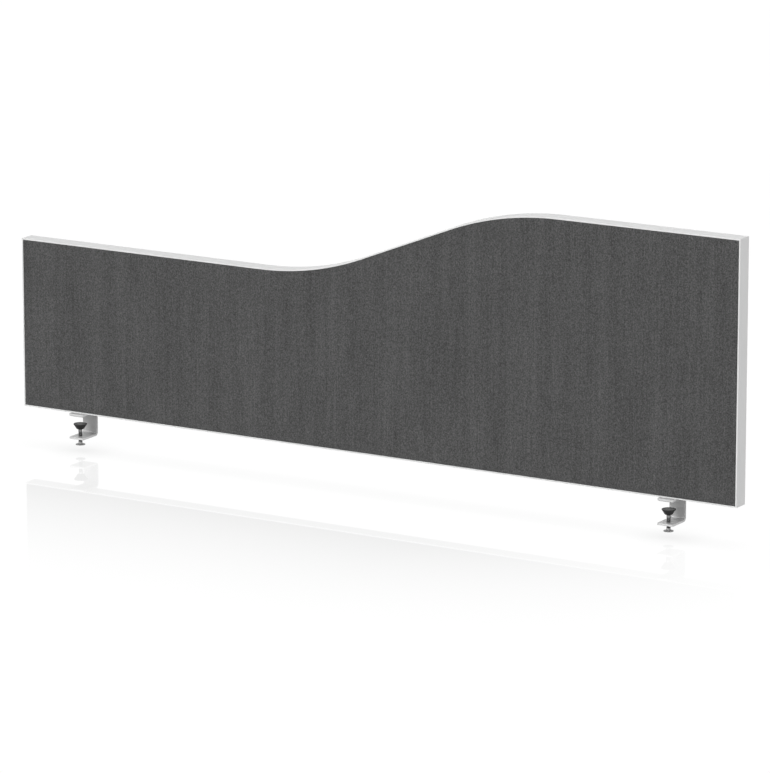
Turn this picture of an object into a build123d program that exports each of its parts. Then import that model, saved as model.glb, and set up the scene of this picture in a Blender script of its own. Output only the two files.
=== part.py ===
from build123d import *
from math import cos, radians, sin, sqrt
import os

# Desk privacy panel: a wave-topped, fabric-covered screen held on a desk's rear edge by two C clamps.
# Millimetres. +X runs along the panel towards its high end, +Y is its back and +Z is up.
# The origin lies in the desk top's plane, under the middle of the panel's length and thickness.
# The jaws open towards -Y, where the desk top goes in.

# Panel
LENGTH = 1200.0
HEIGHT_HIGH = 380.0
HEIGHT_LOW = 256.0
THICKNESS = 26.0
WAVE_MIDDLE_X = 65.0
WAVE_SLOPE_DEG = 21.7
VALLEY_R = 464.0
CREST_R = 468.0

# Layers, from the outside in
HEAD_T = 2.0
FABRIC_T = 0.8
FOAM_T = 3.2
BOARD_T = THICKNESS - 2 * (FABRIC_T + FOAM_T)
FABRIC_EDGE_R = 1.6
TURN_STOP_Y = 3.0

# The trims' barbed stem and the groove that holds it
GROOVE_W = 3.2
GROOVE_DEPTH = 11.2
STEM_W = 2.0
STEM_DEPTH = 9.5
BARBS = 3
BARB_START = 1.2
BARB_PITCH = 2.8
BARB_STEP = 0.5
HEAD_EDGE_R = 0.7

# Clamp bracket
PLATE_T = 3.0
BRACKET_W = 25.0
BRACKET_DEPTH = 39.5
BRACKET_H = 38.5
BEND_OUTER_R = 6.0
FLANGE_CORNER_R = 1.5
PLATE_EDGE_R = 0.3
CLAMP_X = {"left": -502.0, "right": 491.5}

# Jaw liner
LINER_T = 0.8
LINER_INSET = 1.0
LINER_CORNER_R = 2.0
LINER_HOLE_R = 4.5

# Wood screws that hold a bracket, one each side of the trim's stem
WOOD_SCREW_X = 6.5
WOOD_SCREW_Y = 4.5
WOOD_SCREW_R = 2.0
WOOD_SCREW_LENGTH = 35.0
WOOD_SCREW_POINT = 5.0
WOOD_SCREW_TIP_R = 0.4
WOOD_SCREW_HEAD_R = 4.0
WOOD_SCREW_HOLE_R = 2.2
CROSS_SPAN = 4.4
CROSS_W = 1.0
CROSS_DEPTH = 1.6

# Clamp screw, from its flat head up to its ball
CLAMP_SCREW_Y = -8.5
SCREW_R = 3.0
NECK_R = 2.45
SCREW_HEAD_R = 7.2
SCREW_HEAD_T = 1.0
SCREW_HEAD_Z = -44.6
SCREW_HEAD_EDGE_R = 0.25
THREAD_LOW_Z = -39.7
THREAD_HIGH_Z = -24.8
THREAD_RELIEF = 0.5
SHOULDER_Z = -21.1
BALL_R = 3.0
BALL_Z = -17.6
HEX_FLATS = 4.0
HEX_DEPTH = 3.0
RUNNING_CLEARANCE = 0.05

# Pressure pad
PAD_R = 10.0
PAD_TOP_Z = -12.5
PAD_RIM_H = 1.1
PAD_CONE_TOP_R = 9.8
PAD_CONE_LOW_R = 6.3
PAD_CONE_LOW_Z = -19.0
PAD_ROUND = (5.3, -20.2)
PAD_BOTTOM_R = 3.6
PAD_BOTTOM_Z = -20.8
FACING_R = 8.6
FACING_T = 1.2
FACING_PROUD = 0.2

# How far a drilled hole's cutter runs past the faces that it goes through
DRILL_PAST = 1.0

PANEL_Z = PLATE_T + LINER_T
LOW_Z = PANEL_Z + HEIGHT_LOW
HIGH_Z = PANEL_Z + HEIGHT_HIGH
END_X = LENGTH / 2
EDGE_INSET = HEAD_T + FABRIC_T
BOTTOM_DRILL_Z = PANEL_Z + EDGE_INSET + DRILL_PAST

# The wave is a valley arc, a straight slope and a crest arc, tangent to each other and to both levels.
SLOPE = radians(WAVE_SLOPE_DEG)
RADII = VALLEY_R + CREST_R
STRAIGHT = (HEIGHT_HIGH - HEIGHT_LOW - RADII * (1 - cos(SLOPE))) / sin(SLOPE)
WAVE_RUN = RADII * sin(SLOPE) + STRAIGHT * cos(SLOPE)
VALLEY_X = WAVE_MIDDLE_X - WAVE_RUN / 2
CREST_X = WAVE_MIDDLE_X + WAVE_RUN / 2


def top_edge(inset):
    """The panel's top edge, moved inwards by inset, as edges in the XZ plane from left to right."""
    valley_r, crest_r = VALLEY_R + inset, CREST_R - inset

    def valley(angle):
        return (VALLEY_X + valley_r * sin(angle), 0, LOW_Z + VALLEY_R - valley_r * cos(angle))

    def crest(angle):
        return (CREST_X - crest_r * sin(angle), 0, HIGH_Z - CREST_R + crest_r * cos(angle))

    return [
        Line((inset - END_X, 0, LOW_Z - inset), valley(0)),
        ThreePointArc(valley(0), valley(SLOPE / 2), valley(SLOPE)),
        Line(valley(SLOPE), crest(SLOPE)),
        ThreePointArc(crest(SLOPE), crest(SLOPE / 2), crest(0)),
        Line(crest(0), (END_X - inset, 0, HIGH_Z - inset)),
    ]


def slab(inset, y_from, y_to):
    """The panel's whole outline, moved inwards by inset, between two planes of its thickness."""
    edges = top_edge(inset)
    start, end = edges[0] @ 0, edges[-1] @ 1
    low_right = (end.X, 0, PANEL_Z + inset)
    low_left = (start.X, 0, PANEL_Z + inset)
    edges += [Line(end, low_right), Line(low_right, low_left), Line(low_left, start)]
    outline = make_face(edges)
    return Pos(0, y_from, 0) * extrude(outline, amount=y_to - y_from, dir=(0, 1, 0))


def rod(x, y, r, z_from, z_to):
    """An upright cylinder between two heights."""
    return Pos(x, y, z_from) * Cylinder(r, z_to - z_from, align=(Align.CENTER, Align.CENTER, Align.MIN))


def taper(x, y, r_from, r_to, z_from, z_to):
    """An upright cone between two heights."""
    align = (Align.CENTER, Align.CENTER, Align.MIN)
    return Pos(x, y, z_from) * Cone(r_from, r_to, z_to - z_from, align=align)


def wood_screw_places(clamp_x):
    """Where one bracket's two wood screws stand, on a diagonal that misses the trim's stem."""
    return [(clamp_x + side * WOOD_SCREW_X, side * WOOD_SCREW_Y) for side in (-1, 1)]


def drilled(solid, r, z_to):
    """The solid with a hole from below for every wood screw of both brackets."""
    for clamp_x in CLAMP_X.values():
        for x, y in wood_screw_places(clamp_x):
            solid -= rod(x, y, r, PANEL_Z - DRILL_PAST, z_to)
    return solid


def core_board():
    """The board, with a saw groove all round its edge and pilot holes in its underside."""
    board = slab(EDGE_INSET, -BOARD_T / 2, BOARD_T / 2)
    groove = slab(HEAD_T, -GROOVE_W / 2, GROOVE_W / 2)
    groove -= slab(EDGE_INSET + GROOVE_DEPTH, -GROOVE_W / 2, GROOVE_W / 2)
    return drilled(board - groove, WOOD_SCREW_R, LINER_T + WOOD_SCREW_LENGTH)


def foam(side):
    """A foam sheet over the board's front (side -1) or back (side 1)."""
    near, far = sorted((side * BOARD_T / 2, side * (BOARD_T / 2 + FOAM_T)))
    return slab(EDGE_INSET, near, far)


def cover(side):
    """A fabric sheet over one face, turned over the board's edges and stopped short of the groove."""
    low, high = sorted((side * TURN_STOP_Y, side * THICKNESS / 2))
    block = slab(HEAD_T, low, high)
    face = block.faces().sort_by(Axis.Y)[-1 if side > 0 else 0]
    block = fillet(face.edges(), FABRIC_EDGE_R)
    low, high = sorted((side * TURN_STOP_Y, side * (THICKNESS / 2 - FABRIC_T)))
    return drilled(block - slab(EDGE_INSET, low, high), WOOD_SCREW_HOLE_R, BOTTOM_DRILL_Z)


def trim_section(place):
    """A trim's section as a face. place turns (y, depth below the outer face) into a point."""
    stem, barb = STEM_W / 2, GROOVE_W / 2
    half = [(THICKNESS / 2, 0), (THICKNESS / 2, HEAD_T), (stem, HEAD_T)]
    for k in range(BARBS):
        depth = HEAD_T + BARB_START + k * BARB_PITCH
        half += [(stem, depth), (barb, depth + BARB_STEP), (stem, depth + BARB_PITCH - BARB_STEP)]
    half += [(stem, HEAD_T + STEM_DEPTH)]
    points = half + [(-y, depth) for y, depth in reversed(half)]
    face = make_face(Polyline(*[place(y, depth) for y, depth in points], close=True)).face()
    outer = [Vector(*place(y, 0)) for y in (-THICKNESS / 2, THICKNESS / 2)]
    by_distance = sorted(face.vertices(), key=lambda v: min((Vector(v) - p).length for p in outer))
    return face.fillet_2d(HEAD_EDGE_R, by_distance[:2])


def mitred(trim, x, z, x_in, z_in, level):
    """The trim cut at 45 degrees at the corner (x, z), where x_in and z_in point into the panel.

    level is true for the trims along the top and bottom, and false for those up the sides.
    """
    reach = 2 * (HEAD_T + STEM_DEPTH)
    outside = (x - x_in, z - z_in)
    inside = (x + reach * x_in, z + reach * z_in)
    third = (outside[0], inside[1]) if level else (inside[0], outside[1])
    corners = [(px, 0, pz) for px, pz in (outside, inside, third)]
    offcut = make_face(Polyline(*corners, close=True))
    return trim - extrude(offcut, amount=THICKNESS, dir=(0, 1, 0), both=True)


def top_trim():
    """The trim that follows the wave, mitred at both ends."""
    section = trim_section(lambda y, depth: (-END_X, y, LOW_Z - depth))
    trim = sweep(section, path=Wire(top_edge(0)))
    trim = mitred(trim, -END_X, LOW_Z, 1, -1, level=True)
    return mitred(trim, END_X, HIGH_Z, -1, -1, level=True)


def bottom_trim():
    """The trim along the straight underside, which the brackets' wood screws pass through."""
    section = trim_section(lambda y, depth: (-END_X, y, PANEL_Z + depth))
    trim = extrude(section, amount=LENGTH, dir=(1, 0, 0))
    trim = mitred(trim, -END_X, PANEL_Z, 1, 1, level=True)
    trim = mitred(trim, END_X, PANEL_Z, -1, 1, level=True)
    return drilled(trim, WOOD_SCREW_HOLE_R, BOTTOM_DRILL_Z)


def side_trim(side, height):
    """The trim up the left end (side -1) or the right end (side 1)."""
    x = side * END_X
    section = trim_section(lambda y, depth: (x - side * depth, y, PANEL_Z))
    trim = extrude(section, amount=height, dir=(0, 0, 1))
    trim = mitred(trim, x, PANEL_Z, -side, 1, level=False)
    return mitred(trim, x, PANEL_Z + height, -side, -1, level=False)


def bracket(clamp_x):
    """A C folded from plate: two flanges towards the front and a web at the back."""
    front, back = -BRACKET_DEPTH / 2, BRACKET_DEPTH / 2
    top, bottom = PANEL_Z, PANEL_Z - BRACKET_H
    left = clamp_x - BRACKET_W / 2
    outer = [(front, top), (back, top), (back, bottom), (front, bottom)]
    inner_back = back - PLATE_T
    inner = [(front, bottom + PLATE_T), (inner_back, bottom + PLATE_T), (inner_back, top - PLATE_T)]
    inner.append((front, top - PLATE_T))
    profile = make_face(Polyline(*[(left, y, z) for y, z in outer + inner], close=True)).face()
    outer_bends = profile.vertices().filter_by_position(Axis.Y, back, back)
    profile = profile.fillet_2d(BEND_OUTER_R, outer_bends)
    inner_bends = profile.vertices().filter_by_position(Axis.Y, inner_back, inner_back)
    profile = profile.fillet_2d(BEND_OUTER_R - PLATE_T, inner_bends)
    plate = extrude(profile, amount=BRACKET_W, dir=(1, 0, 0))
    corners = plate.edges().filter_by(Axis.Z).filter_by_position(Axis.Y, front, front)
    plate = fillet(corners, FLANGE_CORNER_R)
    plate = fillet(plate.faces().filter_by(Axis.X).edges(), PLATE_EDGE_R)
    for x, y in wood_screw_places(clamp_x):
        plate -= rod(x, y, WOOD_SCREW_HOLE_R, LINER_T - DRILL_PAST, PANEL_Z + DRILL_PAST)
        plate -= wood_screw_head(x, y)
    hole = (bottom - DRILL_PAST, bottom + PLATE_T + DRILL_PAST)
    return plate - rod(clamp_x, CLAMP_SCREW_Y, SCREW_R + RUNNING_CLEARANCE, *hole)


def wood_screw_head(x, y):
    """A countersunk head, flush with the underside of the upper flange."""
    rise = WOOD_SCREW_HEAD_R - WOOD_SCREW_R
    return taper(x, y, WOOD_SCREW_HEAD_R, WOOD_SCREW_R, LINER_T, LINER_T + rise)


def bracket_screws(clamp_x):
    """The bracket's two countersunk wood screws, with cross slots in their heads."""
    screws = []
    point_z = LINER_T + WOOD_SCREW_LENGTH - WOOD_SCREW_POINT
    align = (Align.CENTER, Align.CENTER, Align.MIN)
    for x, y in wood_screw_places(clamp_x):
        shank = rod(x, y, WOOD_SCREW_R, LINER_T, point_z)
        point = taper(x, y, WOOD_SCREW_R, WOOD_SCREW_TIP_R, point_z, LINER_T + WOOD_SCREW_LENGTH)
        screw = wood_screw_head(x, y) + shank + point
        slot = Box(CROSS_SPAN, CROSS_W, CROSS_DEPTH, align=align)
        slot += Box(CROSS_W, CROSS_SPAN, CROSS_DEPTH, align=align)
        screws.append(screw - Pos(x, y, LINER_T) * slot)
    return Compound(children=screws)


def jaw_liner(clamp_x):
    """A thin liner under the upper flange, with holes that leave the wood screws' heads open."""
    front = -BRACKET_DEPTH / 2 + LINER_INSET
    back = BRACKET_DEPTH / 2 - BEND_OUTER_R - LINER_INSET
    width = BRACKET_W - 2 * LINER_INSET
    sheet = Box(width, back - front, LINER_T, align=(Align.CENTER, Align.MIN, Align.MIN))
    sheet = Pos(clamp_x, front, 0) * fillet(sheet.edges().filter_by(Axis.Z), LINER_CORNER_R)
    for x, y in wood_screw_places(clamp_x):
        sheet -= rod(x, y, LINER_HOLE_R, -DRILL_PAST, LINER_T + DRILL_PAST)
    return sheet


def turned(clamp_x, edges):
    """A profile of edges in (radius, 0, height), turned about the clamp screw's axis."""
    return Pos(clamp_x, CLAMP_SCREW_Y, 0) * revolve(make_face(edges), axis=Axis.Z)


def clamp_screw(clamp_x):
    """Flat head with a hexagon socket, plain shank, thread, plain shank, neck and ball."""
    ball_low_z = BALL_Z - sqrt(BALL_R**2 - NECK_R**2)
    groove_r = SCREW_R - THREAD_RELIEF
    profile = [
        (0, SCREW_HEAD_Z),
        (SCREW_HEAD_R, SCREW_HEAD_Z),
        (SCREW_HEAD_R, SCREW_HEAD_Z + SCREW_HEAD_T),
        (SCREW_R, SCREW_HEAD_Z + SCREW_HEAD_T),
        (SCREW_R, THREAD_LOW_Z - THREAD_RELIEF),
        (groove_r, THREAD_LOW_Z),
        (SCREW_R, THREAD_LOW_Z + THREAD_RELIEF),
        (SCREW_R, THREAD_HIGH_Z - THREAD_RELIEF),
        (groove_r, THREAD_HIGH_Z),
        (SCREW_R, THREAD_HIGH_Z + THREAD_RELIEF),
        (SCREW_R, SHOULDER_Z),
        (NECK_R, SHOULDER_Z),
        (NECK_R, ball_low_z),
    ]
    points = [(r, 0, z) for r, z in profile]
    ball_top = (0, 0, BALL_Z + BALL_R)
    edges = [Line(a, b) for a, b in zip(points, points[1:])]
    edges += [ThreePointArc(points[-1], (BALL_R, 0, BALL_Z), ball_top), Line(ball_top, points[0])]
    screw = turned(clamp_x, edges)
    rim = screw.edges().filter_by(GeomType.CIRCLE).group_by(lambda e: e.radius)[-1]
    screw = fillet(rim, SCREW_HEAD_EDGE_R)
    socket = extrude(RegularPolygon(HEX_FLATS / 2, 6, major_radius=False), amount=HEX_DEPTH)
    return screw - Pos(clamp_x, CLAMP_SCREW_Y, SCREW_HEAD_Z) * socket


def pressure_pad(clamp_x):
    """A flared pad that snaps over the screw's ball, with a recess for its facing."""
    recess_z = PAD_TOP_Z + FACING_PROUD - FACING_T
    bore_r = NECK_R + RUNNING_CLEARANCE
    socket_r = BALL_R + RUNNING_CLEARANCE
    socket_low_z = BALL_Z - sqrt(socket_r**2 - bore_r**2)
    outside = [
        (bore_r, PAD_BOTTOM_Z),
        (PAD_BOTTOM_R, PAD_BOTTOM_Z),
        (PAD_CONE_LOW_R, PAD_CONE_LOW_Z),
        (PAD_CONE_TOP_R, PAD_TOP_Z - PAD_RIM_H),
        (PAD_R, PAD_TOP_Z - PAD_RIM_H),
        (PAD_R, PAD_TOP_Z),
        (FACING_R, PAD_TOP_Z),
        (FACING_R, recess_z),
        (0, recess_z),
        (0, BALL_Z + socket_r),
    ]
    points = [(r, 0, z) for r, z in outside]
    rounded = ThreePointArc(points[1], (PAD_ROUND[0], 0, PAD_ROUND[1]), points[2])
    mouth = (bore_r, 0, socket_low_z)
    edges = [Line(points[0], points[1]), rounded]
    edges += [Line(a, b) for a, b in zip(points[2:], points[3:])]
    edges += [ThreePointArc(points[-1], (socket_r, 0, BALL_Z), mouth), Line(mouth, points[0])]
    return turned(clamp_x, edges)


def pad_facing(clamp_x):
    """The rubber disc in the pad's recess, a little proud of its rim."""
    top_z = PAD_TOP_Z + FACING_PROUD
    disc = rod(clamp_x, CLAMP_SCREW_Y, FACING_R, top_z - FACING_T, top_z)
    return chamfer(disc.faces().sort_by(Axis.Z)[-1].edges(), FACING_PROUD)


nodes = {
    "core_board": core_board(),
    "front_foam": foam(-1),
    "back_foam": foam(1),
    "front_cover": cover(-1),
    "back_cover": cover(1),
    "top_trim": top_trim(),
    "bottom_trim": bottom_trim(),
    "left_trim": side_trim(-1, HEIGHT_LOW),
    "right_trim": side_trim(1, HEIGHT_HIGH),
}
for hand, clamp_x in CLAMP_X.items():
    nodes[f"{hand}_bracket"] = bracket(clamp_x)
    nodes[f"{hand}_jaw_liner"] = jaw_liner(clamp_x)
    nodes[f"{hand}_bracket_screws"] = bracket_screws(clamp_x)
    nodes[f"{hand}_clamp_screw"] = clamp_screw(clamp_x)
    nodes[f"{hand}_pressure_pad"] = pressure_pad(clamp_x)
    nodes[f"{hand}_pad_facing"] = pad_facing(clamp_x)

os.makedirs("parts", exist_ok=True)
for name, solid in nodes.items():
    export_step(solid, f"parts/{name}.step")
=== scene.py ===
import math
import bmesh
import bpy
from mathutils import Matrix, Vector, noise


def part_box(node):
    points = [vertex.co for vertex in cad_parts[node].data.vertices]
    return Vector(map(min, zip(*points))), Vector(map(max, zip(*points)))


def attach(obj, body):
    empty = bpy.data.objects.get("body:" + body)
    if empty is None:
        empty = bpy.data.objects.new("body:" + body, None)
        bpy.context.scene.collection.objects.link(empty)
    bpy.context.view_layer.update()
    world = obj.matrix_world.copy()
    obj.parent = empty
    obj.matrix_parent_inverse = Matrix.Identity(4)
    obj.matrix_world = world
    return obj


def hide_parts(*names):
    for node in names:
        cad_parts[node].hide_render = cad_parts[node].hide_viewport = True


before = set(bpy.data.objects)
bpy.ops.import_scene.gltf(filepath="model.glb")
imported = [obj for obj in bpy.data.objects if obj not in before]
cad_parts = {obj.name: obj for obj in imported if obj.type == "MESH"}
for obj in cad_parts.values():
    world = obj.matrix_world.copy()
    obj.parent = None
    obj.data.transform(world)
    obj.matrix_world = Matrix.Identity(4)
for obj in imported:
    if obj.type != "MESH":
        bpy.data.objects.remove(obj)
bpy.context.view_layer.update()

# A desk privacy panel with a wave top, covered in charcoal fabric, on two screw clamps.
# Lengths are metres, in the CAD model's frame: +X along the panel, +Y out of its back, +Z up.
MM = 0.001

# ---- The panel's outline: a valley arc, a slope and a crest arc between two levels ----

WAVE_MIDDLE_X = 65 * MM
WAVE_SLOPE = math.radians(21.7)
VALLEY_R = 464 * MM
CREST_R = 468 * MM

END_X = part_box("right_trim")[1].x
BACK_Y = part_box("back_cover")[1].y
PANEL_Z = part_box("bottom_trim")[0].z
LOW_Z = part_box("left_trim")[1].z
HIGH_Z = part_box("right_trim")[1].z

RADII = VALLEY_R + CREST_R
STRAIGHT = (HIGH_Z - LOW_Z - RADII * (1 - math.cos(WAVE_SLOPE))) / math.sin(WAVE_SLOPE)
WAVE_RUN = RADII * math.sin(WAVE_SLOPE) + STRAIGHT * math.cos(WAVE_SLOPE)
VALLEY_X = WAVE_MIDDLE_X - WAVE_RUN / 2
CREST_X = WAVE_MIDDLE_X + WAVE_RUN / 2


def top_at(x, inset):
    """Height of the panel's top edge, moved inwards by inset, above x."""
    valley_r, crest_r = VALLEY_R + inset, CREST_R - inset
    if x <= VALLEY_X:
        return LOW_Z - inset
    if x >= CREST_X:
        return HIGH_Z - inset
    if x < VALLEY_X + valley_r * math.sin(WAVE_SLOPE):
        return LOW_Z + VALLEY_R - math.sqrt(valley_r**2 - (x - VALLEY_X) ** 2)
    if x > CREST_X - crest_r * math.sin(WAVE_SLOPE):
        return HIGH_Z - CREST_R + math.sqrt(crest_r**2 - (CREST_X - x) ** 2)
    slope_x = VALLEY_X + valley_r * math.sin(WAVE_SLOPE)
    slope_z = LOW_Z + VALLEY_R - valley_r * math.cos(WAVE_SLOPE)
    return slope_z + (x - slope_x) * math.tan(WAVE_SLOPE)


def slope_at(x, inset):
    """Angle of the top edge, moved inwards by inset, above x."""
    step = 0.05 * MM
    return math.atan2(top_at(x + step, inset) - top_at(x - step, inset), 2 * step)


# ---- Mesh helpers ----

def piece(name, points, faces, smooth=True):
    """A mesh object whose faces all point outwards."""
    mesh = bpy.data.meshes.new(name)
    mesh.from_pydata([tuple(p) for p in points], [], faces)
    mesh.validate()
    work = bmesh.new()
    work.from_mesh(mesh)
    bmesh.ops.recalc_face_normals(work, faces=work.faces)
    work.to_mesh(mesh)
    work.free()
    made = bpy.data.objects.new(name, mesh)
    bpy.context.scene.collection.objects.link(made)
    if smooth:
        mesh.polygons.foreach_set("use_smooth", [True] * len(mesh.polygons))
    return made


def sharpen(obj, degrees):
    """Smooth shading that breaks at edges sharper than the angle."""
    obj.data.set_sharp_from_angle(angle=math.radians(degrees))


def band(low, high):
    """Faces between two closed rings of point numbers. Where a ring is one point, triangles."""
    faces = []
    for k in range(len(low)):
        n = (k + 1) % len(low)
        faces.append(tuple(dict.fromkeys((low[k], low[n], high[n], high[k]))))
    return faces


def lathe(name, x, y, rows, segments):
    """A solid turned about the upright axis at (x, y).

    rows are (z, radius), and a radius may be a function of the angle. A radius of 0 closes it.
    """
    points, faces, rings = [], [], []
    for z, radius in rows:
        if radius == 0:
            rings.append([len(points)] * segments)
            points.append((x, y, z))
            continue
        ring = []
        for k in range(segments):
            angle = math.tau * k / segments
            r = radius(angle) if callable(radius) else radius
            ring.append(len(points))
            points.append((x + r * math.cos(angle), y + r * math.sin(angle), z))
        rings.append(ring)
    for low, high in zip(rings, rings[1:]):
        faces += band(low, high)
    return piece(name, points, faces)


def quarter(centre_r, centre_z, radius, start, steps=4):
    """Profile points round a quarter circle from an angle in degrees, turning left."""
    found = []
    for k in range(steps + 1):
        angle = math.radians(start + 90 * k / steps)
        found.append((centre_z + radius * math.sin(angle), centre_r + radius * math.cos(angle)))
    return found


# ---- Material helpers ----

class Graph:
    """Adds nodes to a tree. An input takes a value or another node's output."""

    def __init__(self, tree):
        self.tree = tree

    def node(self, kind, inputs=(), **settings):
        made = self.tree.nodes.new(kind)
        for key, value in settings.items():
            setattr(made, key, value)
        for key, value in dict(inputs).items():
            self.feed(made.inputs[key], value)
        return made

    def feed(self, socket, value):
        if isinstance(value, bpy.types.NodeSocket):
            self.tree.links.new(value, socket)
        else:
            socket.default_value = value

    def calc(self, operation, a, b=0.0):
        return self.node("ShaderNodeMath", {0: a, 1: b}, operation=operation).outputs[0]

    def total(self, *terms):
        """Sum of (pattern, weight) pairs."""
        found = 0.0
        for pattern, weight in terms:
            inputs = {0: pattern, 1: weight, 2: found}
            found = self.node("ShaderNodeMath", inputs, operation="MULTIPLY_ADD").outputs[0]
        return found

    def remap(self, value, low, high, start=0.0, end=1.0):
        """low to high as value goes from start to end, and no further."""
        inputs = {"Value": value, "From Min": start, "From Max": end, "To Min": low, "To Max": high}
        return self.node("ShaderNodeMapRange", inputs).outputs[0]

    def axes(self, kind):
        """X, Y and Z of a kind of texture coordinate."""
        place = self.node("ShaderNodeTexCoord").outputs[kind]
        return self.node("ShaderNodeSeparateXYZ", {0: place}).outputs


class Shading(Graph):
    """A material's node graph. Every pattern follows the piece's own coordinates, in metres."""

    def __init__(self, name, **fixed):
        self.material = bpy.data.materials.new(name)
        self.material.use_nodes = True
        super().__init__(self.material.node_tree)
        self.shader = self.tree.nodes["Principled BSDF"]
        for socket, value in fixed.items():
            self.shader.inputs[socket.replace("_", " ")].default_value = value
        self.place = self.node("ShaderNodeTexCoord").outputs["Object"]
        self.material.diffuse_color = (0.5, 0.5, 0.5, 1)

    def noise(self, scale, detail=2.0, rough=0.5):
        """Noise in features a metre, which may differ on the three axes."""
        scales = scale if isinstance(scale, tuple) else (scale,) * 3
        place = self.node("ShaderNodeVectorMath", {0: self.place, 1: scales}, operation="MULTIPLY")
        inputs = {"Vector": place.outputs[0], "Scale": 1.0, "Detail": detail, "Roughness": rough}
        return self.node("ShaderNodeTexNoise", inputs).outputs[0]

    def cells(self, scale):
        inputs = {"Vector": self.place, "Scale": scale}
        return self.node("ShaderNodeTexVoronoi", inputs).outputs["Distance"]

    def mix(self, factor, dark, light):
        """Colour that runs from dark to light as factor goes from 0 to 1."""
        made = self.node("ShaderNodeMix", data_type="RGBA")
        for socket, value in zip((made.inputs[0], *made.inputs[6:8]), (factor, dark, light)):
            self.feed(socket, (*value, 1) if isinstance(value, tuple) else value)
        return made.outputs[2]

    def colour(self, value, dark, light):
        self.feed(self.shader.inputs["Base Color"], self.mix(value, dark, light))

    def roughness(self, value, low, high):
        self.feed(self.shader.inputs["Roughness"], self.remap(value, low, high))

    def bump(self, height, distance, strength):
        inputs = {"Height": height, "Distance": distance, "Strength": strength}
        self.feed(self.shader.inputs["Normal"], self.node("ShaderNodeBump", inputs).outputs[0])


def grey(level):
    return (level, level, level)


def clothe(obj, material):
    obj.data.materials.clear()
    obj.data.materials.append(material)


# ---- Materials ----

YARN = 0.9 * MM
YARN_WANDER = 1.4  # in yarns
LIGHT_FIBRES = 1.8  # above 1, the tone's light side spreads further than its dark side
# Where the bracket's cut faces get a painted highlight, as shares of its width and its depth.
HIGHLIGHT_SIDE_SHARE = (0.488, 0.5)  # from the bracket's middle plane, as a share of its width
HIGHLIGHT_FRONT_SHARE = (0.0, 0.008)  # from the bracket's front, as a share of its depth
# How much painted shade darkens the thread, and over what height it fades at its top and its foot.
THREAD_SHADE_DARKENS = 0.42
THREAD_SHADE_TOP_FADE = 1.4 * MM
THREAD_SHADE_FOOT_FADE = 0.4 * MM
LINER_RIB_PITCH = 1.5 * MM


def weave():
    """A plain weave in charcoal yarns, with slubs along the warp and heathered fibres."""
    s = Shading("charcoal_weave", Specular_IOR_Level=0.25, Sheen_Weight=0.12, Sheen_Roughness=0.6)
    x, _, z = s.axes("Object")
    wobble = s.noise(70, 3.0)

    def yarn_phase(position):
        wander = s.calc("MULTIPLY", wobble, YARN_WANDER)
        shifted = s.calc("ADD", s.calc("DIVIDE", position, YARN), wander)
        return s.calc("SINE", s.calc("MULTIPLY", shifted, math.pi))

    across, along = yarn_phase(x), yarn_phase(z)
    over = s.calc("MULTIPLY", across, along)
    warp_up = s.remap(over, 0.0, 1.0, -1.0, 1.0)
    weft_up = s.remap(over, 1.0, 0.0, -1.0, 1.0)
    warp = s.calc("MULTIPLY", s.calc("ABSOLUTE", across), warp_up)
    weft = s.calc("MULTIPLY", s.calc("ABSOLUTE", along), weft_up)
    height = s.calc("MAXIMUM", warp, weft)
    is_warp = s.calc("GREATER_THAN", warp, weft)
    warp_fibres = s.noise((1500, 400, 260))
    weft_fibres = s.noise((260, 400, 1500))
    fibres = s.node("ShaderNodeMix", {0: is_warp, 2: weft_fibres, 3: warp_fibres}).outputs[0]
    streaks = s.noise((48, 3, 3.2), 3.0, 0.55)
    clouds = s.noise((13, 3, 9))
    slubs = s.noise((420, 3, 9), 2.0, 0.6)
    grain = s.noise((560, 520, 450), 2.0, 0.7)
    # Painted shade: the tone follows the yarns' height, darker in the dips between them.
    tone = s.remap(height, 0.194, 0.318)
    weights = ((streaks, 0.125), (clouds, 0.06), (slubs, 0.16), (grain, 0.64), (fibres, 0.285))
    for pattern, weight in weights:
        swing = s.calc("SUBTRACT", pattern, 0.5)
        tone = s.calc("ADD", tone, s.calc("MULTIPLY", swing, weight))
    s.colour(s.calc("POWER", tone, LIGHT_FIBRES), grey(0.0122), grey(0.447))
    s.roughness(fibres, 0.82, 0.97)
    s.bump(s.total((height, 1.0), (fibres, 0.35)), 0.22 * MM, 0.8)
    return s.material


def extruded_plastic():
    """Light grey extruded edging, with die lines along it, fine pitting and a few scuffs."""
    s = Shading("grey_edging", Specular_IOR_Level=0.35)
    lines = s.noise((3, 1600, 3), 3.0, 0.65)
    cloud = s.noise(16, 3.0)
    pits = s.noise(2600)
    scuffs = s.remap(s.noise((35, 420, 35), 4.0, 0.7), 0.0, 1.0, 0.68, 0.80)
    s.colour(s.total((cloud, 0.6), (lines, 0.4)), grey(0.59), grey(0.635))
    s.roughness(s.total((lines, 0.7), (scuffs, 0.5)), 0.34, 0.52)
    s.bump(s.total((lines, 1.0), (pits, 0.5)), 0.012 * MM, 0.7)
    return s.material


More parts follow.
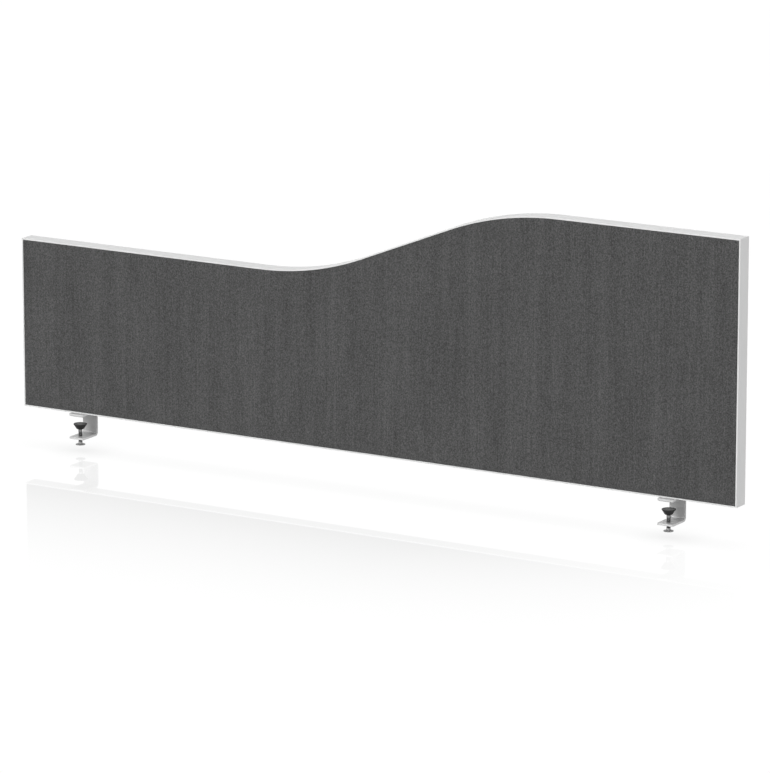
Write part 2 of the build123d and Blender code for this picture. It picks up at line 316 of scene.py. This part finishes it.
def silver_paint():
    """Baked silver paint: fine orange peel, flakes, slight clouding, painted highlight on cut
    edges.
    """
    s = Shading("silver_paint_coat", Metallic=0.25, Specular_IOR_Level=0.5)
    x, y, _ = s.axes("Generated")
    from_middle = s.calc("ABSOLUTE", s.calc("SUBTRACT", x, 0.5))
    # Painted highlight: the cut faces at the sides and fronts are coloured lighter, as faces the
    # light falls on.
    highlit_sides = s.remap(from_middle, 0.0, 1.0, *HIGHLIGHT_SIDE_SHARE)
    highlit_fronts = s.remap(y, 1.0, 0.0, *HIGHLIGHT_FRONT_SHARE)
    peel = s.noise(900)
    flakes = s.cells(4200.0)
    cloud = s.noise(60, 4.0)
    tone = s.total((cloud, 0.55), (flakes, 0.5))
    flat, highlit_tone = s.mix(tone, grey(0.385), grey(0.475)), s.mix(tone, grey(0.50), grey(0.60))
    s.colour(s.calc("MAXIMUM", highlit_sides, highlit_fronts), flat, highlit_tone)
    s.roughness(s.total((cloud, 0.6), (flakes, 0.4)), 0.33, 0.5)
    s.bump(peel, 0.02 * MM, 0.6)
    return s.material


def zinc_steel(name, dark, light, shaded_span=None):
    """Zinc-plated steel: turning marks round the axis and dull patches.

    The last argument is the lowest and highest place of a thread, coloured darker there as painted
    shade.
    """
    s = Shading(name, Metallic=0.9)
    turning = s.noise((40, 40, 6000), 2.0, 0.6)
    patches = s.noise(380, 4.0, 0.6)
    tone = s.total((patches, 0.7), (turning, 0.3))
    # Painted shade: the thread between these heights is coloured darker, standing in for the shade
    # round it.
    if shaded_span:
        low, high = shaded_span
        _, _, z = s.axes("Object")
        below = s.remap(z, 1.0, 0.0, high - THREAD_SHADE_TOP_FADE, high + THREAD_SHADE_TOP_FADE)
        above = s.remap(z, 0.0, 1.0, low - THREAD_SHADE_FOOT_FADE, low + THREAD_SHADE_FOOT_FADE)
        painted_shade = s.calc("MULTIPLY", s.calc("MULTIPLY", below, above), THREAD_SHADE_DARKENS)
        tone = s.calc("SUBTRACT", tone, painted_shade)
    s.colour(tone, dark, light)
    s.roughness(patches, 0.28, 0.52)
    s.bump(s.total((turning, 1.0), (patches, 0.5)), 0.012 * MM, 0.6)
    return s.material


def moulded_black(name, level, rough_low, rough_high, grain_scale, grain_depth):
    """Black moulded plastic or rubber, with a spark-eroded grain and slightly greyed patches."""
    s = Shading(name, Specular_IOR_Level=0.42)
    grain = s.noise(grain_scale, 3.0, 0.6)
    dust = s.noise(240, 4.0, 0.65)
    s.colour(s.total((dust, 0.6), (grain, 0.4)), grey(level * 0.6), grey(level * 1.5))
    s.roughness(grain, rough_low, rough_high)
    s.bump(grain, grain_depth, 0.8)
    return s.material


def ribbed_rubber():
    """Grey rubber sheet with fine moulded ribs across the jaw."""
    s = Shading("liner_sheet", Specular_IOR_Level=0.4)
    _, y, _ = s.axes("Object")
    ribs = s.calc("SINE", s.calc("MULTIPLY", y, math.tau / LINER_RIB_PITCH))
    grain = s.noise(1800, 3.0)
    # Painted shade: the colour follows the ribs, darker in their grooves.
    painted_rib_shade = s.remap(ribs, 0.0, 0.5, -1.0, 1.0)
    s.colour(s.total((painted_rib_shade, 1.0), (grain, 0.5)), grey(0.30), grey(0.46))
    s.roughness(grain, 0.6, 0.85)
    s.bump(s.total((ribs, 1.0), (grain, 0.4)), 0.1 * MM, 0.7)
    return s.material


def chipboard():
    """Pressed wood chips in a few browns."""
    s = Shading("chipboard", Specular_IOR_Level=0.2)
    chips = s.node("ShaderNodeTexVoronoi", {"Vector": s.place, "Scale": 420.0}).outputs
    fleck = s.node("ShaderNodeSeparateColor", {0: chips["Color"]}).outputs[0]
    fibre = s.noise((900, 900, 220), 4.0, 0.6)
    s.colour(s.total((fleck, 0.6), (fibre, 0.5)), (0.25, 0.16, 0.08), (0.62, 0.47, 0.30))
    s.roughness(fibre, 0.7, 0.95)
    s.bump(s.calc("ADD", chips["Distance"], fibre), 0.25 * MM, 0.8)
    return s.material


def open_cell_foam():
    """Pale foam with open cells."""
    s = Shading("foam_cells", Specular_IOR_Level=0.2)
    cells = s.cells(1400.0)
    cloud = s.noise(40, 3.0)
    # Painted shade: the colour follows the cells' relief, darker in their hollows.
    s.colour(s.total((cells, 0.7), (cloud, 0.4)), (0.62, 0.60, 0.50), (0.80, 0.79, 0.72))
    s.roughness(cells, 0.85, 1.0)
    s.bump(cells, 0.3 * MM, 0.9)
    return s.material


# ---- Fabric covers and the foam under them ----

FABRIC_T = 0.8 * MM
SHEET_T = 0.95 * FABRIC_T  # the foam's own relief has the rest
HEAD_T = 2 * MM
COVER_INSET = HEAD_T
COVER_EDGE_R = 1.6 * MM
COVER_WALL_STEPS = 4
FOAM_INSET = HEAD_T + FABRIC_T
FOAM_EDGE_R = 0.9 * MM
FOAM_WALL_STEPS = 2
TURN_STOP_Y = 3 * MM
BOARD_FACE_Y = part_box("core_board")[1].y
COLUMN = 6 * MM
ROWS = 56
EDGE_STEPS = 5
RELIEF = 0.12 * MM
RELIEF_SCALE = (14, 11)  # along the panel and up it, in features a metre
RELIEF_LAYER = 3.7  # how far apart the front's and the back's relief lie in the noise
RELIEF_FINER = 2.3
RELIEF_STARTS = 3  # rows or columns in from the edge


def dent(x, z, side):
    """How far the sheet lies below its full thickness."""
    where = Vector((x * RELIEF_SCALE[0], z * RELIEF_SCALE[1], RELIEF_LAYER * side))
    swell = noise.noise(where) + 0.5 * noise.noise(where * RELIEF_FINER)
    return RELIEF * (0.5 + 0.5 * swell)


def tray(inset, side, face_y, stop_y, edge_r, wall_steps):
    """A sheet over one face of the panel, turned round its edges towards the middle.

    Gives its points, its faces and the point numbers of its rim.
    """
    inner = inset + edge_r
    columns = round(2 * (END_X - inner) / COLUMN)
    xs = [-END_X + inner + 2 * (END_X - inner) * i / columns for i in range(columns + 1)]
    points, faces = [], []

    for x in xs:
        top, low = top_at(x, inner), PANEL_Z + inner
        start = RELIEF_STARTS * COLUMN
        across = min(x + END_X - inner, END_X - inner - x, start) / start
        for j in range(ROWS + 1):
            z = low + (top - low) * j / ROWS
            full = min(j, ROWS - j, RELIEF_STARTS) / RELIEF_STARTS * across
            points.append((x, side * (face_y - dent(x, z, side) * full), z))
    high = ROWS + 1
    for i in range(columns):
        for j in range(ROWS):
            a = i * high + j
            faces.append((a, a + 1, a + high + 1, a + high))

    # The face's outline, as point numbers and the way out of the panel at each.
    border = [(i * high, (0, -1)) for i in range(columns + 1)]
    border += [(columns * high + j, (1, 0)) for j in range(1, ROWS + 1)]
    for i in range(columns - 1, -1, -1):
        tilt = slope_at(xs[i], inner)
        border.append((i * high + ROWS, (-math.sin(tilt), math.cos(tilt))))
    border += [(j, (-1, 0)) for j in range(ROWS - 1, 0, -1)]
    right = columns * high
    corners = {0: (-1, -1), right: (1, -1), right + ROWS: (1, 1), ROWS: (-1, 1)}
    border = [(index, corners.get(index, out)) for index, out in border]

    # The turned-in strip's profile, as its reach out of the outline and its depth.
    wall = []
    for k in range(1, EDGE_STEPS + 1):
        turn = math.pi / 2 * k / EDGE_STEPS
        wall.append((edge_r * math.sin(turn), face_y - edge_r * (1 - math.cos(turn))))
    for k in range(1, wall_steps + 1):
        wall.append((edge_r, face_y - edge_r - (face_y - edge_r - stop_y) * k / wall_steps))
    last = [index for index, out in border]
    for reach, y in wall:
        ring = []
        for index, out in border:
            x, _, z = points[index]
            ring.append(len(points))
            points.append((x + out[0] * reach, side * y, z + out[1] * reach))
        faces += band(last, ring)
        last = ring
    return points, faces, last


def cover(name, side, material):
    sheet = tray(COVER_INSET, side, BACK_Y, TURN_STOP_Y, COVER_EDGE_R, COVER_WALL_STEPS)
    made = piece(name + "_fabric", *sheet[:2])
    solid = made.modifiers.new("thickness", "SOLIDIFY")
    solid.thickness = SHEET_T
    solid.offset = -1
    solid.use_even_offset = True
    clothe(made, material)
    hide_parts(name)
    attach(made, "panel")
    return made


def foam(name, side, material):
    points, faces, rim = tray(
        FOAM_INSET, side, BACK_Y - FABRIC_T, BOARD_FACE_Y, FOAM_EDGE_R, FOAM_WALL_STEPS
    )
    faces.append(tuple(rim))
    made = piece(name + "_sheet", points, faces)
    sharpen(made, 40)
    clothe(made, material)
    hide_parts(name)
    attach(made, "panel")
    return made


# ---- Top trim ----

STEM_W = 2.0 * MM
STEM_DEPTH = 9.5 * MM
GROOVE_W = 3.2 * MM
BARBS = 3
BARB_START = 1.2 * MM
BARB_PITCH = 2.8 * MM
BARB_STEP = 0.5 * MM
HEAD_EDGE_R = 0.7 * MM
HEAD_STEPS = 6
HEAD_EDGE_STEPS = 5
LEVEL_STEPS = 14
ARC_STEPS = 52


def trim_profile():
    """Half of the trim's section as (y, depth), from its outer face round to the stem's foot."""
    half = [(BACK_Y * k / HEAD_STEPS, 0) for k in range(HEAD_STEPS)]
    for k in range(HEAD_EDGE_STEPS + 1):
        angle = math.pi / 2 * k / HEAD_EDGE_STEPS
        y = BACK_Y - HEAD_EDGE_R + HEAD_EDGE_R * math.sin(angle)
        half.append((y, HEAD_EDGE_R * (1 - math.cos(angle))))
    half += [(BACK_Y, HEAD_T), (STEM_W / 2, HEAD_T)]
    for k in range(BARBS):
        depth = HEAD_T + BARB_START + k * BARB_PITCH
        half += [(STEM_W / 2, depth), (GROOVE_W / 2, depth + BARB_STEP)]
        half += [(STEM_W / 2, depth + BARB_PITCH - BARB_STEP)]
    half.append((STEM_W / 2, HEAD_T + STEM_DEPTH))
    return half


def top_stations():
    """Stations along the panel's top edge as (x, z, angle), closer together round the arcs."""
    left_run, right_run = VALLEY_X + END_X, END_X - CREST_X
    found = [(-END_X + left_run * k / LEVEL_STEPS, LOW_Z, 0.0) for k in range(LEVEL_STEPS)]
    for k in range(ARC_STEPS + 1):
        angle = WAVE_SLOPE * k / ARC_STEPS
        x, z = VALLEY_R * math.sin(angle), VALLEY_R * (1 - math.cos(angle))
        found.append((VALLEY_X + x, LOW_Z + z, angle))
    for k in range(ARC_STEPS, -1, -1):
        angle = WAVE_SLOPE * k / ARC_STEPS
        x, z = CREST_R * math.sin(angle), CREST_R * (1 - math.cos(angle))
        found.append((CREST_X - x, HIGH_Z - z, angle))
    steps = range(1, LEVEL_STEPS + 1)
    return found + [(CREST_X + right_run * k / LEVEL_STEPS, HIGH_Z, 0.0) for k in steps]


def top_trim(material):
    half = trim_profile()
    section = half + [(-y, depth) for y, depth in reversed(half[1:])]
    stations = top_stations()
    mitres = {0: 1, len(stations) - 1: -1}
    points, faces, rings = [], [], []
    for number, (x, z, angle) in enumerate(stations):
        inwards = math.sin(angle) + mitres.get(number, 0)
        ring = []
        for y, depth in section:
            ring.append(len(points))
            points.append((x + depth * inwards, y, z - depth * math.cos(angle)))
        rings.append(ring)
    for low, high in zip(rings, rings[1:]):
        faces += band(low, high)
    faces += [tuple(rings[0]), tuple(rings[-1])]
    made = piece("top_edging", points, faces)
    sharpen(made, 24)
    clothe(made, material)
    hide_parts("top_trim")
    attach(made, "panel")


# ---- Clamp screws and pad facings ----

PITCH = 1.0 * MM
SCREW_R = 3.0 * MM
NECK_R = 2.45 * MM
SCREW_HEAD_R = 7.2 * MM
SCREW_HEAD_T = 1.0 * MM
HEAD_EDGE = 0.25 * MM
HEAD_FILLET = 0.4 * MM
THREAD_LOW_Z = -39.7 * MM
THREAD_HIGH_Z = -24.8 * MM
SHOULDER_Z = -21.1 * MM
SHOULDER_CHAMFER = 0.3 * MM
BALL_R = 3.0 * MM
BALL_Z = -17.6 * MM
BALL_STEPS = 12
HEX_FLATS = 4.0 * MM
HEX_DEPTH = 3.0 * MM
HEX_CHAMFER = 0.15 * MM
HEX_RIM_R = 4.5 * MM
THREAD_DEPTH = 0.6134  # in pitches
CREST_FLAT = 1 / 16  # in pitches, each side of the crest
ROWS_A_PITCH = 16
SCREW_SEGMENTS = 48
FACING_SEGMENTS = 64
FACING_EDGE = 0.2 * MM
RING_START = 0.875 * MM
RING_PITCH = 1.25 * MM
RING_DEPTH = 0.245 * MM
RING_WIDTH = 0.47 * MM
RING_WALL = 0.12 * MM
RING_LEAST_R = 1.2 * MM


def thread_radius(z):
    """Radius at a height as a function of the angle, for a right-hand 60 degree thread."""
    fade = min(1.0, (z - THREAD_LOW_Z) / PITCH, (THREAD_HIGH_Z - z) / PITCH)

    def radius(angle):
        turn = ((z - THREAD_LOW_Z) / PITCH - angle / math.tau) % 1.0
        from_crest = min(turn, 1.0 - turn)
        cut = min(max((from_crest - CREST_FLAT) * math.sqrt(3), 0.0), THREAD_DEPTH)
        return SCREW_R - cut * PITCH * max(fade, 0.0)

    return radius


def hexagon(angle):
    """Radius of the socket's wall at an angle."""
    sector = math.tau / 6
    return HEX_FLATS / 2 / math.cos((angle + sector / 2) % sector - sector / 2)


def clamp_screw(hand, x, y, head_z, material):
    """The screw from its hex socket, round its flat head and up its thread to its ball end."""
    socket_z, head_top_z = head_z + HEX_DEPTH, head_z + SCREW_HEAD_T
    edge_r = SCREW_HEAD_R - HEAD_EDGE
    rows = [(socket_z, 0), (socket_z, hexagon), (head_z + HEX_CHAMFER, hexagon)]
    rows += [(head_z, lambda angle: hexagon(angle) + HEX_CHAMFER), (head_z, HEX_RIM_R)]
    rows += [(head_z, edge_r)]
    rows += quarter(edge_r, head_z + HEAD_EDGE, HEAD_EDGE, -90)[1:]
    rows += quarter(edge_r, head_top_z - HEAD_EDGE, HEAD_EDGE, 0)
    rows += [(head_top_z, SCREW_R + HEAD_FILLET), (head_top_z + HEAD_FILLET, SCREW_R)]
    steps = round((THREAD_HIGH_Z - THREAD_LOW_Z) / PITCH * ROWS_A_PITCH)
    for k in range(steps + 1):
        z = THREAD_LOW_Z + (THREAD_HIGH_Z - THREAD_LOW_Z) * k / steps
        rows.append((z, thread_radius(z)))
    rows += [(SHOULDER_Z - SHOULDER_CHAMFER, SCREW_R)]
    rows += [(SHOULDER_Z, SCREW_R - SHOULDER_CHAMFER), (SHOULDER_Z, NECK_R)]
    start = math.asin(-math.sqrt(BALL_R**2 - NECK_R**2) / BALL_R)
    for k in range(BALL_STEPS):
        angle = start + (math.pi / 2 - start) * k / BALL_STEPS
        rows.append((BALL_Z + BALL_R * math.sin(angle), BALL_R * math.cos(angle)))
    rows.append((BALL_Z + BALL_R, 0))
    made = lathe(f"{hand}_threaded_screw", x, y, rows, SCREW_SEGMENTS)
    sharpen(made, 35)
    clothe(made, material)
    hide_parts(f"{hand}_clamp_screw")
    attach(made, f"{hand}_screw")


def pad_facing(hand, x, y, material):
    """The rubber disc in the pad's top, with ring grooves moulded in it."""
    low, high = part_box(f"{hand}_pad_facing")
    radius = (high.x - low.x) / 2
    top_r, floor_z = radius - FACING_EDGE, high.z - RING_DEPTH
    rows = [(low.z, 0), (low.z, radius), (high.z - FACING_EDGE, radius), (high.z, top_r)]
    r = top_r - RING_START
    while r > RING_LEAST_R:
        rows += [(high.z, r), (floor_z, r - RING_WALL)]
        rows += [(floor_z, r - RING_WIDTH + RING_WALL), (high.z, r - RING_WIDTH)]
        r -= RING_PITCH
    rows.append((high.z, 0))
    made = lathe(f"{hand}_grip_disc", x, y, rows, FACING_SEGMENTS)
    sharpen(made, 30)
    clothe(made, material)
    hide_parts(f"{hand}_pad_facing")
    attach(made, f"{hand}_pad")


# ---- Build ----

SIDES = (("front_cover", -1), ("back_cover", 1))

fabric_material = weave()
foam_material = open_cell_foam()
edging_material = extruded_plastic()
paint_material = silver_paint()
# The thread's span that gets painted shade.
shaded_thread_span = (THREAD_LOW_Z, THREAD_HIGH_Z + PITCH)
screw_material = zinc_steel("zinc_plate", grey(0.115), grey(0.465), shaded_thread_span)
wood_screw_material = zinc_steel("bright_zinc", grey(0.42), grey(0.62))
pad_material = moulded_black("pad_plastic", 0.0056, 0.42, 0.62, 2200, 0.03 * MM)
facing_material = moulded_black("grip_rubber", 0.088, 0.5, 0.7, 1500, 0.05 * MM)
liner_material = ribbed_rubber()
board_material = chipboard()

front_foam = foam("front_foam", -1, foam_material)
back_foam = foam("back_foam", 1, foam_material)
covers = {name: cover(name, side, fabric_material) for name, side in SIDES}
top_trim(edging_material)

clothe(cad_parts["core_board"], board_material)
for node in ("bottom_trim", "left_trim", "right_trim"):
    clothe(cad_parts[node], edging_material)

for hand in ("left", "right"):
    low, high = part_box(f"{hand}_clamp_screw")
    x, y = (low.x + high.x) / 2, (low.y + high.y) / 2
    clamp_screw(hand, x, y, low.z, screw_material)
    pad_facing(hand, x, y, facing_material)
    clothe(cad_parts[f"{hand}_bracket"], paint_material)
    clothe(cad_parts[f"{hand}_jaw_liner"], liner_material)
    clothe(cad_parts[f"{hand}_bracket_screws"], wood_screw_material)
    clothe(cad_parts[f"{hand}_pressure_pad"], pad_material)

# ---- Floor, light and camera ----

FLOOR_Z = -55.3 * MM
FLOOR_SIZE = 40.0
FLOOR_WHITE = 1.012
FLOOR_POLISH = 0.163
POLISH_ROUGHNESS = 0.03
POLISH_GROWS_Y = (-0.80, -0.20)
POLISH_CURVE = 2.45
POLISH_ENDS_Y = (-0.02, 0.10)
POLISH_FADES_X = (0.20, 0.72)
POLISH_RIGHT = 0.1
CONTACT_REACH = 68 * MM
CONTACT_SHADE = 0.30
BOUNCE_GLOW = 0.48
BOUNCE_GREY = 0.15

# Where the sky's lights begin and end are parts of the unit direction towards them.
LEFT_LIGHT = 0.743
OVERHEAD_LIGHT = 0.37
OVERHEAD_FROM_Z = 0.35
BACKDROP_LIGHT = 0.95
BACKDROP_SIDES_Y = (0.35, 0.5)
BACKDROP_TOP_Z = (0.30, 0.45)
MIRRORED_ROOM = 1.0
SEEN_WHITE = 1.05

# A sun's direction has the length of the brightness that it gives a white surface facing it. With
# it are its width in degrees and whether it shows in glossy surfaces.
SUNS = {
    "key": ((-0.096, -0.326, 0.211), 20, True),
    "front": ((-0.024, -0.229, 0.047), 30, True),
    "fill": ((0.464, -0.265, 0.332), 30, True),
    "rear": ((-0.08, 0.43, 0.055), 30, False),
}

CAMERA_AT = (3.93316, -6.47158, 1.85446)
CAMERA_YAW = 31.139
CAMERA_PITCH = 13.0255
CAMERA_LENS = 251.50
CAMERA_SENSOR = 36.0
CAMERA_SEES = 60.0


def floor_material():
    """White studio floor, polished just in front of the panel, with soft contact shadows.

    Light that bounces off it meets a plain glowing grey instead.
    """
    material = bpy.data.materials.new("studio_floor")
    material.use_nodes = True
    material.node_tree.nodes.clear()
    g = Graph(material.node_tree)
    x, y, _ = g.axes("Object")
    forward = g.calc("POWER", g.remap(y, 0.0, 1.0, *POLISH_GROWS_Y), POLISH_CURVE)
    behind = g.remap(y, 1.0, 0.0, *POLISH_ENDS_Y)
    sideways = g.remap(x, 1.0, POLISH_RIGHT, *POLISH_FADES_X)
    polish = g.calc("MULTIPLY", g.calc("MULTIPLY", forward, behind), sideways)
    mirror = g.calc("MULTIPLY", polish, FLOOR_POLISH)
    gloss_inputs = {"Color": mirror, "Roughness": POLISH_ROUGHNESS}
    gloss = g.node("ShaderNodeBsdfGlossy", gloss_inputs).outputs[0]
    contact = g.node("ShaderNodeAmbientOcclusion", {"Distance": CONTACT_REACH}).outputs["AO"]
    shade = g.remap(contact, -CONTACT_SHADE, 0.0)
    bare = g.calc("SUBTRACT", FLOOR_WHITE, g.calc("MULTIPLY", mirror, MIRRORED_ROOM))
    glow = g.node("ShaderNodeEmission", {"Strength": g.calc("ADD", bare, shade)}).outputs[0]
    seen = g.node("ShaderNodeAddShader", {0: glow, 1: gloss}).outputs[0]
    matt = g.node("ShaderNodeBsdfDiffuse", {"Color": (*grey(BOUNCE_GREY), 1)}).outputs[0]
    bounce_glow = g.node("ShaderNodeEmission", {"Strength": BOUNCE_GLOW}).outputs[0]
    bounce = g.node("ShaderNodeAddShader", {0: bounce_glow, 1: matt}).outputs[0]
    to_camera = g.node("ShaderNodeLightPath").outputs["Is Camera Ray"]
    both = g.node("ShaderNodeMixShader", {0: to_camera, 1: bounce, 2: seen}).outputs[0]
    g.node("ShaderNodeOutputMaterial", {"Surface": both})
    return material


def studio_world():
    """Glow from the left and from overhead, and a low bright backdrop behind the panel.

    Glossy surfaces mirror an even white room, and the camera sees white.
    """
    world = bpy.data.worlds.new("studio")
    world.use_nodes = True
    world.node_tree.nodes.clear()
    g = Graph(world.node_tree)
    x, y, z = g.axes("Generated")

    def glow(strength):
        inputs = {"Color": (*grey(1.0), 1), "Strength": strength}
        return g.node("ShaderNodeBackground", inputs).outputs[0]

    left = g.remap(x, LEFT_LIGHT, 0.0, -1.0, 0.0)
    overhead = g.remap(z, 0.0, OVERHEAD_LIGHT, OVERHEAD_FROM_Z, 1.0)
    backdrop = g.remap(y, 0.0, BACKDROP_LIGHT, *BACKDROP_SIDES_Y)
    low_down = g.remap(z, 1.0, 0.0, *BACKDROP_TOP_Z)
    sky = g.calc("ADD", g.calc("ADD", left, overhead), g.calc("MULTIPLY", backdrop, low_down))
    path = g.node("ShaderNodeLightPath").outputs
    lights = {0: path["Is Glossy Ray"], 1: glow(sky), 2: glow(MIRRORED_ROOM)}
    lit = g.node("ShaderNodeMixShader", lights).outputs[0]
    shown = {0: path["Is Camera Ray"], 1: lit, 2: glow(SEEN_WHITE)}
    g.node("ShaderNodeOutputWorld", {"Surface": g.node("ShaderNodeMixShader", shown).outputs[0]})
    return world


reach = FLOOR_SIZE / 2
floor_corners = ((-reach, -reach), (reach, -reach), (reach, reach), (-reach, reach))
floor_points = [(x, y, FLOOR_Z) for x, y in floor_corners]
floor = piece("studio_floor", floor_points, [(0, 1, 2, 3)], smooth=False)
clothe(floor, floor_material())

scene = bpy.context.scene
scene.view_settings.view_transform = "Standard"
scene.world = studio_world()

for name, (towards, degrees, in_gloss) in SUNS.items():
    light = bpy.data.lights.new(name, "SUN")
    light.energy = math.pi * Vector(towards).length
    light.angle = math.radians(degrees)
    sun = bpy.data.objects.new(name, light)
    sun.rotation_mode = "QUATERNION"
    sun.rotation_quaternion = Vector(towards).to_track_quat("Z", "Y")
    sun.visible_glossy = in_gloss
    scene.collection.objects.link(sun)

camera_data = bpy.data.cameras.new("camera")
camera_data.lens = CAMERA_LENS
camera_data.sensor_width = CAMERA_SENSOR
camera_data.clip_end = CAMERA_SEES
camera = bpy.data.objects.new("camera", camera_data)
camera.location = CAMERA_AT
camera.rotation_euler = (math.radians(90 - CAMERA_PITCH), 0, math.radians(CAMERA_YAW))
scene.collection.objects.link(camera)
scene.camera = camera
